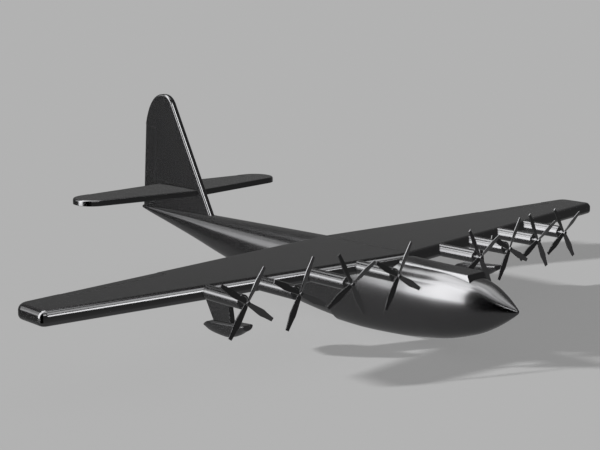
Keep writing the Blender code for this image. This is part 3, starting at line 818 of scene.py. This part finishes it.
def build_tailplanes():
    """Two thinner slabs beside the fin, and their elevators."""
    inner = FIN_THICKNESS / 2 + GAP
    outline = swept_outline(inner, TAIL_HALF_SPAN, TAIL_LEADING_ROOT, TAIL_LEADING_SLOPE, TAIL_TRAILING_ROOT,
                            TAIL_TRAILING_SLOPE, TAIL_TIP_ROUND, TAIL_TIP_ROUND)
    tailplane = slab("tailplane_port_skin", outline, TAIL_TOP - TAIL_THICKNESS, TAIL_TOP,
                     TAIL_UPPER_ROUND, TAIL_LOWER_ROUND, lambda place: abs(place.y - inner) < SAME_PLACE)
    hinge, sweep = hinge_line(TAIL_TRAILING_ROOT, TAIL_TRAILING_SLOPE, ELEVATOR_CHORD, ELEVATOR_INNER,
                              TAIL_TOP - TAIL_THICKNESS / 2)
    elevator = control_surface("elevator_port_skin", tailplane, TAIL_LACQUER, hinge,
                               (ELEVATOR_OUTER - ELEVATOR_INNER) / math.cos(sweep),
                               ELEVATOR_CHORD * math.cos(sweep), TAIL_THICKNESS, ELEVATOR_TRAVEL,
                               TAIL_UPPER_ROUND, TAIL_LOWER_ROUND)
    finish_both(tailplane, "tailplane", TAIL_LACQUER, "tail_enamel", False)
    finish_both(elevator, "elevator", TAIL_LACQUER, "tail_enamel", True)


# Fin and rudder

def curve_point(start, control, end, t):
    """A point on the parabola that leaves start and reaches end with control between them."""
    return ((1 - t) ** 2 * start[0] + 2 * t * (1 - t) * control[0] + t ** 2 * end[0],
            (1 - t) ** 2 * start[1] + 2 * t * (1 - t) * control[1] + t ** 2 * end[1])


def build_fin():
    """A slab drawn in side view and stood upright, and its rudder."""
    front_rake = (FIN_SHOULDER[0] - FIN_FRONT_X) / (FIN_SHOULDER[1] - FIN_FOOT)
    rear_rake = (FIN_REAR_SHOULDER[0] - FIN_HEEL_X) / (FIN_REAR_SHOULDER[1] - FIN_FOOT)
    front_pull = front_rake * (FIN_CREST[1] - FIN_SHOULDER[1]) * FIN_FRONT_PULL
    rear_pull = rear_rake * (FIN_CREST[1] - FIN_REAR_SHOULDER[1]) + FIN_REAR_BULGE
    front_control = (FIN_SHOULDER[0] + front_pull, FIN_CREST[1])
    rear_control = (FIN_REAR_SHOULDER[0] + rear_pull, FIN_CREST[1])
    steps = [i / TIP_FACETS for i in range(1, TIP_FACETS + 1)]
    outline = [(FIN_FRONT_X, FIN_FOOT), FIN_SHOULDER]
    outline += [curve_point(FIN_SHOULDER, front_control, FIN_CREST, t) for t in steps]
    outline += [curve_point(FIN_CREST, rear_control, FIN_REAR_SHOULDER, t) for t in steps]
    outline.append((FIN_HEEL_X, FIN_FOOT))
    fin = slab("fin_skin", outline, -FIN_THICKNESS / 2, FIN_THICKNESS / 2, FIN_ROUND, FIN_ROUND,
               lambda place: abs(place.y - FIN_FOOT) < SAME_PLACE)
    upright = Matrix.Rotation(math.radians(90), 4, 'X')
    move(fin, upright)
    lean = math.atan(rear_rake)
    hinge_x = FIN_HEEL_X + rear_rake * (RUDDER_BOTTOM - FIN_FOOT) + RUDDER_CHORD / math.cos(lean)
    hinge = Matrix.Translation((hinge_x, 0, RUDDER_BOTTOM)) @ upright @ Matrix.Rotation(-lean, 4, 'Z')
    rudder = control_surface("rudder_skin", fin, TAIL_LACQUER, hinge,
                             (RUDDER_TOP - RUDDER_BOTTOM) / math.cos(lean), RUDDER_CHORD, FIN_THICKNESS,
                             RUDDER_TRAVEL, FIN_ROUND, FIN_ROUND)
    finish(fin, TAIL_LACQUER, "tail_enamel", "airframe", "fin")
    finish(rudder, TAIL_LACQUER, "tail_enamel", "rudder", "rudder")


# Engines and propellers

def front_face(x):
    """Tests for the round face about the shaft at this x, looking ahead."""
    def test(centre, normal):
        central = math.hypot(centre.y, centre.z) < SAME_PLACE
        return central and normal.x > FACING and abs(centre.x - x) < SAME_PLACE
    return test


def ring_edge(x, radius):
    """Tests for an edge of the ring about the shaft at this x and radius."""
    def test(a, b):
        return all(abs(p.x - x) < SAME_PLACE and abs(math.hypot(p.y, p.z) - radius) < SAME_PLACE
                   for p in (a, b))
    return test


def nacelle_pattern():
    """A barrel with a rolled lip, a shallow intake and the bore that the shaft turns in."""
    middle = (NACELLE_FRONT + NACELLE_REAR) / 2
    barrel = primitive(bpy.ops.mesh.primitive_cylinder_add, "nacelle_pattern", vertices=NACELLE_SIDES,
                       radius=NACELLE_RADIUS, depth=NACELLE_FRONT - NACELLE_REAR, location=(middle, 0, 0),
                       rotation=(0, math.radians(90), 0))
    pick(barrel, "faces", front_face(NACELLE_FRONT))
    bpy.ops.mesh.inset(thickness=NACELLE_RADIUS - INTAKE_RADIUS)
    bpy.ops.mesh.extrude_region_move(TRANSFORM_OT_translate={"value": (-INTAKE_DEPTH, 0, 0)})
    bpy.ops.mesh.inset(thickness=INTAKE_RADIUS - SHAFT_BORE_RADIUS)
    bpy.ops.mesh.extrude_region_move(TRANSFORM_OT_translate={"value": (-SHAFT_BORE_DEPTH, 0, 0)})
    done()
    rims = (
        (NACELLE_RADIUS, NACELLE_RIM, NACELLE_RIM_FACETS),
        (INTAKE_RADIUS, INTAKE_RIM, SMALL_EDGE_FACETS),
    )
    for radius, roll, steps in rims:
        pick(barrel, "edges", ring_edge(NACELLE_FRONT, radius))
        bpy.ops.mesh.bevel(offset=roll, segments=steps, profile=0.5, affect='EDGES')
        done()
    return barrel


def blade_section(height):
    """A thick plate with rounded edges, turned to its pitch."""
    chord, thickness, pitch = (blend(BLADE, height, column) for column in (1, 2, 3))
    half = chord / 2 - BLADE_EDGE
    deep = thickness / 2 - BLADE_EDGE
    outline = []
    for sign_chord, sign_deep, start in ((1, 1, 0), (-1, 1, 90), (-1, -1, 180), (1, -1, 270)):
        outline += arc((sign_chord * half, sign_deep * deep), BLADE_EDGE, start, start + 90,
                       SMALL_EDGE_FACETS)
    turn = math.radians(pitch)
    section = []
    for along_chord, through in outline:
        x = -along_chord * math.sin(turn) + through * math.cos(turn)
        y = along_chord * math.cos(turn) + through * math.sin(turn)
        section.append((x, y, height))
    return section


def propeller_pattern():
    """The hub with its shaft stub, and four blades welded on."""
    middle = (HUB_FRONT + HUB_REAR) / 2
    hub = primitive(bpy.ops.mesh.primitive_cylinder_add, "propeller_pattern", vertices=HUB_SIDES,
                    radius=HUB_RADIUS, depth=HUB_FRONT - HUB_REAR, location=(middle, 0, 0),
                    rotation=(0, math.radians(90), 0))
    pick(hub, "faces", lambda centre, normal: normal.x < -FACING)
    bpy.ops.mesh.inset(thickness=HUB_RADIUS - SHAFT_RADIUS)
    bpy.ops.mesh.extrude_region_move(TRANSFORM_OT_translate={"value": (SHAFT_REAR - HUB_REAR, 0, 0)})
    done()
    pick(hub, "edges", ring_edge(HUB_FRONT, HUB_RADIUS))
    bpy.ops.mesh.bevel(offset=HUB_RIM, segments=HUB_RIM_FACETS, profile=0.5, affect='EDGES')
    done()
    blade = loft("blade_pattern", [blade_section(height) for height in stations(BLADE, BLADE_STATION)])
    for i in range(BLADE_COUNT):
        part = duplicate(blade, "blade_%d" % i)
        move(part, Matrix.Rotation(math.tau * i / BLADE_COUNT, 4, 'X'))
        combine(hub, part, 'UNION')
    bpy.data.objects.remove(blade, do_unlink=True)
    return hub


def build_engines():
    """Eight engines, numbered from the starboard tip to the port tip."""
    barrel = nacelle_pattern()
    pattern = propeller_pattern()
    engines = [(-1, y) for y in reversed(ENGINE_Y)] + [(1, y) for y in ENGINE_Y]
    for number, (side, y) in enumerate(engines, start=1):
        hub_at = Matrix.Translation((INNER_HUB_X + HUB_SWEEP * (y - ENGINE_Y[0]), side * y, ENGINE_Z))
        nacelle = duplicate(barrel, "nacelle_%d_skin" % number)
        move(nacelle, hub_at)
        finish(nacelle, NACELLE_LACQUER, "nacelle_enamel", "airframe", "nacelle_%d" % number)
        propeller = duplicate(pattern, "propeller_%d_blades" % number)
        move(propeller, hub_at @ Matrix.Rotation(-math.radians(BLADE_ANGLES[number - 1]), 4, 'X'))
        node = "propeller_%d" % number
        finish(propeller, BLADE_LACQUER, "propeller_enamel", node, node)
    for pattern_piece in (barrel, pattern):
        bpy.data.objects.remove(pattern_piece, do_unlink=True)


# Floats

def float_section(x):
    """A flat deck with rounded edges over a full round bottom."""
    keel, deck, half_beam = (blend(FLOAT, x, column) for column in (1, 2, 3))
    edge = arc((half_beam - FLOAT_EDGE, deck - FLOAT_EDGE), FLOAT_EDGE, 90, 0, FLOAT_EDGE_FACETS)
    section = [(x, y, z) for y, z in edge]
    fullness = 2 / FLOAT_POWER
    for i in range(1, FLOAT_POINTS):
        angle = math.pi * i / FLOAT_POINTS
        across = math.cos(angle)
        y = half_beam * math.copysign(abs(across) ** fullness, across)
        z = deck - FLOAT_EDGE - (deck - FLOAT_EDGE - keel) * math.sin(angle) ** fullness
        section.append((x, y, z))
    return section + [(x, -y, z) for y, z in reversed(edge)]


def build_floats():
    """A float and its pylon, modelled once on the centre line and copied to both sides."""
    body = loft("float_pattern", [float_section(x) for x in stations(FLOAT, FLOAT_STATION)])
    top = WING_TOP - WING_THICKNESS - GAP
    corners = [(PYLON_REAR[0], PYLON_FOOT_Z), (PYLON_FRONT[0], PYLON_FOOT_Z), (PYLON_FRONT[1], top),
               (PYLON_REAR[1], top)]
    half = PYLON_THICKNESS / 2
    pylon = loft("pylon_pattern", [[(x, y, z) for x, z in corners] for y in (-half, half)])
    apply_modifier(pylon, 'BEVEL', width=PYLON_EDGE, segments=SMALL_EDGE_FACETS, limit_method='ANGLE')
    for side, side_name in ((1, "port"), (-1, "starboard")):
        for pattern, label in ((body, "float"), (pylon, "pylon")):
            piece = duplicate(pattern, "%s_%s_skin" % (label, side_name))
            move(piece, Matrix.Translation((0, side * FLOAT_Y, 0)))
            finish(piece, FLOAT_LACQUER, "float_enamel", "airframe", label + "_" + side_name)
    for pattern in (body, pylon):
        bpy.data.objects.remove(pattern, do_unlink=True)


# Studio

def window(tree, azimuth, elevation, centre, half_width, height, half_height):
    """A soft-edged rectangle of directions in the mirrored studio: one inside it, nothing outside."""
    aside = add(tree, "ShaderNodeMath", {0: azimuth, 1: centre}, operation='SUBTRACT')
    turned = add(tree, "ShaderNodeMath", {0: aside.outputs[0], 1: 180, 2: -180}, operation='WRAP')
    above = add(tree, "ShaderNodeMath", {0: elevation, 1: height}, operation='SUBTRACT')
    inside = []
    for offset, half in ((turned, half_width), (above, half_height)):
        distance = add(tree, "ShaderNodeMath", {0: offset.outputs[0]}, operation='ABSOLUTE')
        edge = {"Value": distance.outputs[0], "From Min": half - WINDOW_EDGE / 2,
                "From Max": half + WINDOW_EDGE / 2, "To Min": 1.0, "To Max": 0.0}
        inside.append(add(tree, "ShaderNodeMapRange", edge, interpolation_type='SMOOTHSTEP'))
    columns, rows = (node.outputs["Result"] for node in inside)
    return add(tree, "ShaderNodeMath", {0: columns, 1: rows}, operation='MULTIPLY').outputs[0]


def mirrored_light(tree):
    """How bright the mirrored studio is in the direction looked at."""
    looked = add(tree, "ShaderNodeTexCoord", {}).outputs["Generated"]
    x, y, z = add(tree, "ShaderNodeSeparateXYZ", {"Vector": looked}).outputs
    turn = add(tree, "ShaderNodeMath", {0: y, 1: x}, operation='ARCTAN2')
    azimuth = add(tree, "ShaderNodeMath", {0: turn.outputs[0]}, operation='DEGREES').outputs[0]
    rise = add(tree, "ShaderNodeMath", {0: z}, operation='ARCSINE')
    elevation = add(tree, "ShaderNodeMath", {0: rise.outputs[0]}, operation='DEGREES').outputs[0]
    horizon = {"Value": elevation, "From Min": HORIZON - WINDOW_EDGE / 2,
               "From Max": HORIZON + WINDOW_EDGE / 2, "To Min": GROUND_BRIGHTNESS, "To Max": ROOM_BRIGHTNESS}
    ground = add(tree, "ShaderNodeMapRange", horizon)
    open_side = add(tree, "ShaderNodeMath", {0: 1.0, 1: window(tree, azimuth, elevation, *FLAG)},
                    operation='SUBTRACT')
    light = add(tree, "ShaderNodeMath", {0: ground.outputs[0], 1: open_side.outputs[0]},
                operation='MULTIPLY')
    for *place, brightness in WINDOWS:
        lit = add(tree, "ShaderNodeMath", {0: window(tree, azimuth, elevation, *place), 1: brightness},
                  operation='MULTIPLY')
        light = add(tree, "ShaderNodeMath", {0: light.outputs[0], 1: lit.outputs[0]}, operation='MAXIMUM')
    return light.outputs[0]


def build_world():
    """Backdrop for the eye, a little even light, and soft windows for what is mirrored."""
    world = bpy.data.worlds.new("studio")
    bpy.context.scene.world = world
    world.use_nodes = True
    # The windows are there to be mirrored, so the world isn't used as a lamp as well.
    world.cycles.sampling_method = 'NONE'
    tree = world.node_tree
    tree.nodes.clear()
    white = linear("#FFFFFF")
    seen = add(tree, "ShaderNodeLightPath", {})
    mirror = add(tree, "ShaderNodeBackground", {"Color": white, "Strength": mirrored_light(tree)})
    even = add(tree, "ShaderNodeBackground", {"Color": white, "Strength": AMBIENT})
    backdrop = add(tree, "ShaderNodeBackground", {"Color": linear(BACKDROP), "Strength": 1.0})
    unseen = add(tree, "ShaderNodeMixShader",
                 {0: seen.outputs["Is Glossy Ray"], 1: even.outputs[0], 2: mirror.outputs[0]})
    whole = add(tree, "ShaderNodeMixShader",
                {0: seen.outputs["Is Camera Ray"], 1: unseen.outputs[0], 2: backdrop.outputs[0]})
    add(tree, "ShaderNodeOutputWorld", {"Surface": whole.outputs[0]})


def build_floor():
    """A matt pale floor level with the keel, kept out of the mirrored studio."""
    floor = primitive(bpy.ops.mesh.primitive_plane_add, "floor", size=FLOOR_SIZE,
                      location=(0, 0, cad_low.z - GAP))
    material = bpy.data.materials.new("matt_pale_floor")
    material.use_nodes = True
    tree = material.node_tree
    tree.nodes.clear()
    # Fine paper grain, 2 mm across, keeps the pale floor from being one flat colour.
    place = add(tree, "ShaderNodeTexCoord", {}).outputs["Object"]
    grain = add(tree, "ShaderNodeTexNoise", {"Vector": place, "Scale": 1 / GRAIN_WIDTH, "Detail": 2.0})
    tone = add(tree, "ShaderNodeMix",
               {"Factor": grain.outputs["Fac"], "A": linear(FLOOR_DEEPER), "B": linear(FLOOR_COLOUR)},
               data_type='RGBA')
    shader = add(tree, "ShaderNodeBsdfPrincipled",
                 {"Base Color": tone.outputs["Result"], "Roughness": 1.0, "Specular IOR Level": 0.0})
    add(tree, "ShaderNodeOutputMaterial", {"Surface": shader.outputs["BSDF"]})
    floor.data.materials.append(material)
    floor.visible_glossy = False
    floor.visible_diffuse = False
    return floor


def sun(name, azimuth, elevation, width, strength, pieces):
    """A lamp that lights only the given pieces, its direction and width given in degrees."""
    data = bpy.data.lights.new(name, 'SUN')
    data.energy = strength
    data.angle = math.radians(width)
    lamp = bpy.data.objects.new(name, data)
    bpy.context.scene.collection.objects.link(lamp)
    side = math.radians(azimuth)
    rise = math.radians(elevation)
    towards = Vector((math.cos(side) * math.cos(rise), math.sin(side) * math.cos(rise), math.sin(rise)))
    lamp.rotation_euler = towards.to_track_quat('Z', 'Y').to_euler()
    lit = bpy.data.collections.new("lit_by_" + name)
    for piece in pieces:
        lit.objects.link(piece)
    lamp.light_linking.receiver_collection = lit
    return data


def build_lights(floor):
    """A low key draws the long shadows, a fill evens the floor, and single pieces get their own light."""
    sun("key", KEY_AZIMUTH, KEY_ELEVATION, KEY_WIDTH, KEY_STRENGTH, [floor])
    fill = sun("fill", azimuth=0, elevation=90, width=0, strength=FILL_STRENGTH, pieces=[floor])
    fill.use_shadow = False
    for name, *settings, lit in PIECE_LIGHTS:
        sun(name, *settings, [bpy.data.objects[piece] for piece in lit]).use_shadow = False


def build_camera():
    """The picture's own view."""
    data = bpy.data.cameras.new("camera")
    data.lens = CAMERA_LENS
    data.sensor_width = CAMERA_SENSOR
    data.clip_end = FLOOR_SIZE
    camera = bpy.data.objects.new("camera", data)
    bpy.context.scene.collection.objects.link(camera)
    camera.matrix_world = (Matrix.Translation(CAMERA_PLACE)
                           @ Matrix.Rotation(CAMERA_YAW - math.pi / 2, 4, 'Z')
                           @ Matrix.Rotation(math.pi / 2 + CAMERA_PITCH, 4, 'X')
                           @ Matrix.Rotation(CAMERA_ROLL, 4, 'Z'))
    bpy.context.scene.camera = camera


build_hull()
build_canopy()
build_wings()
build_tailplanes()
build_fin()
build_engines()
build_floats()
build_world()
build_lights(build_floor())
build_camera()
bpy.context.scene.view_settings.view_transform = 'Standard'
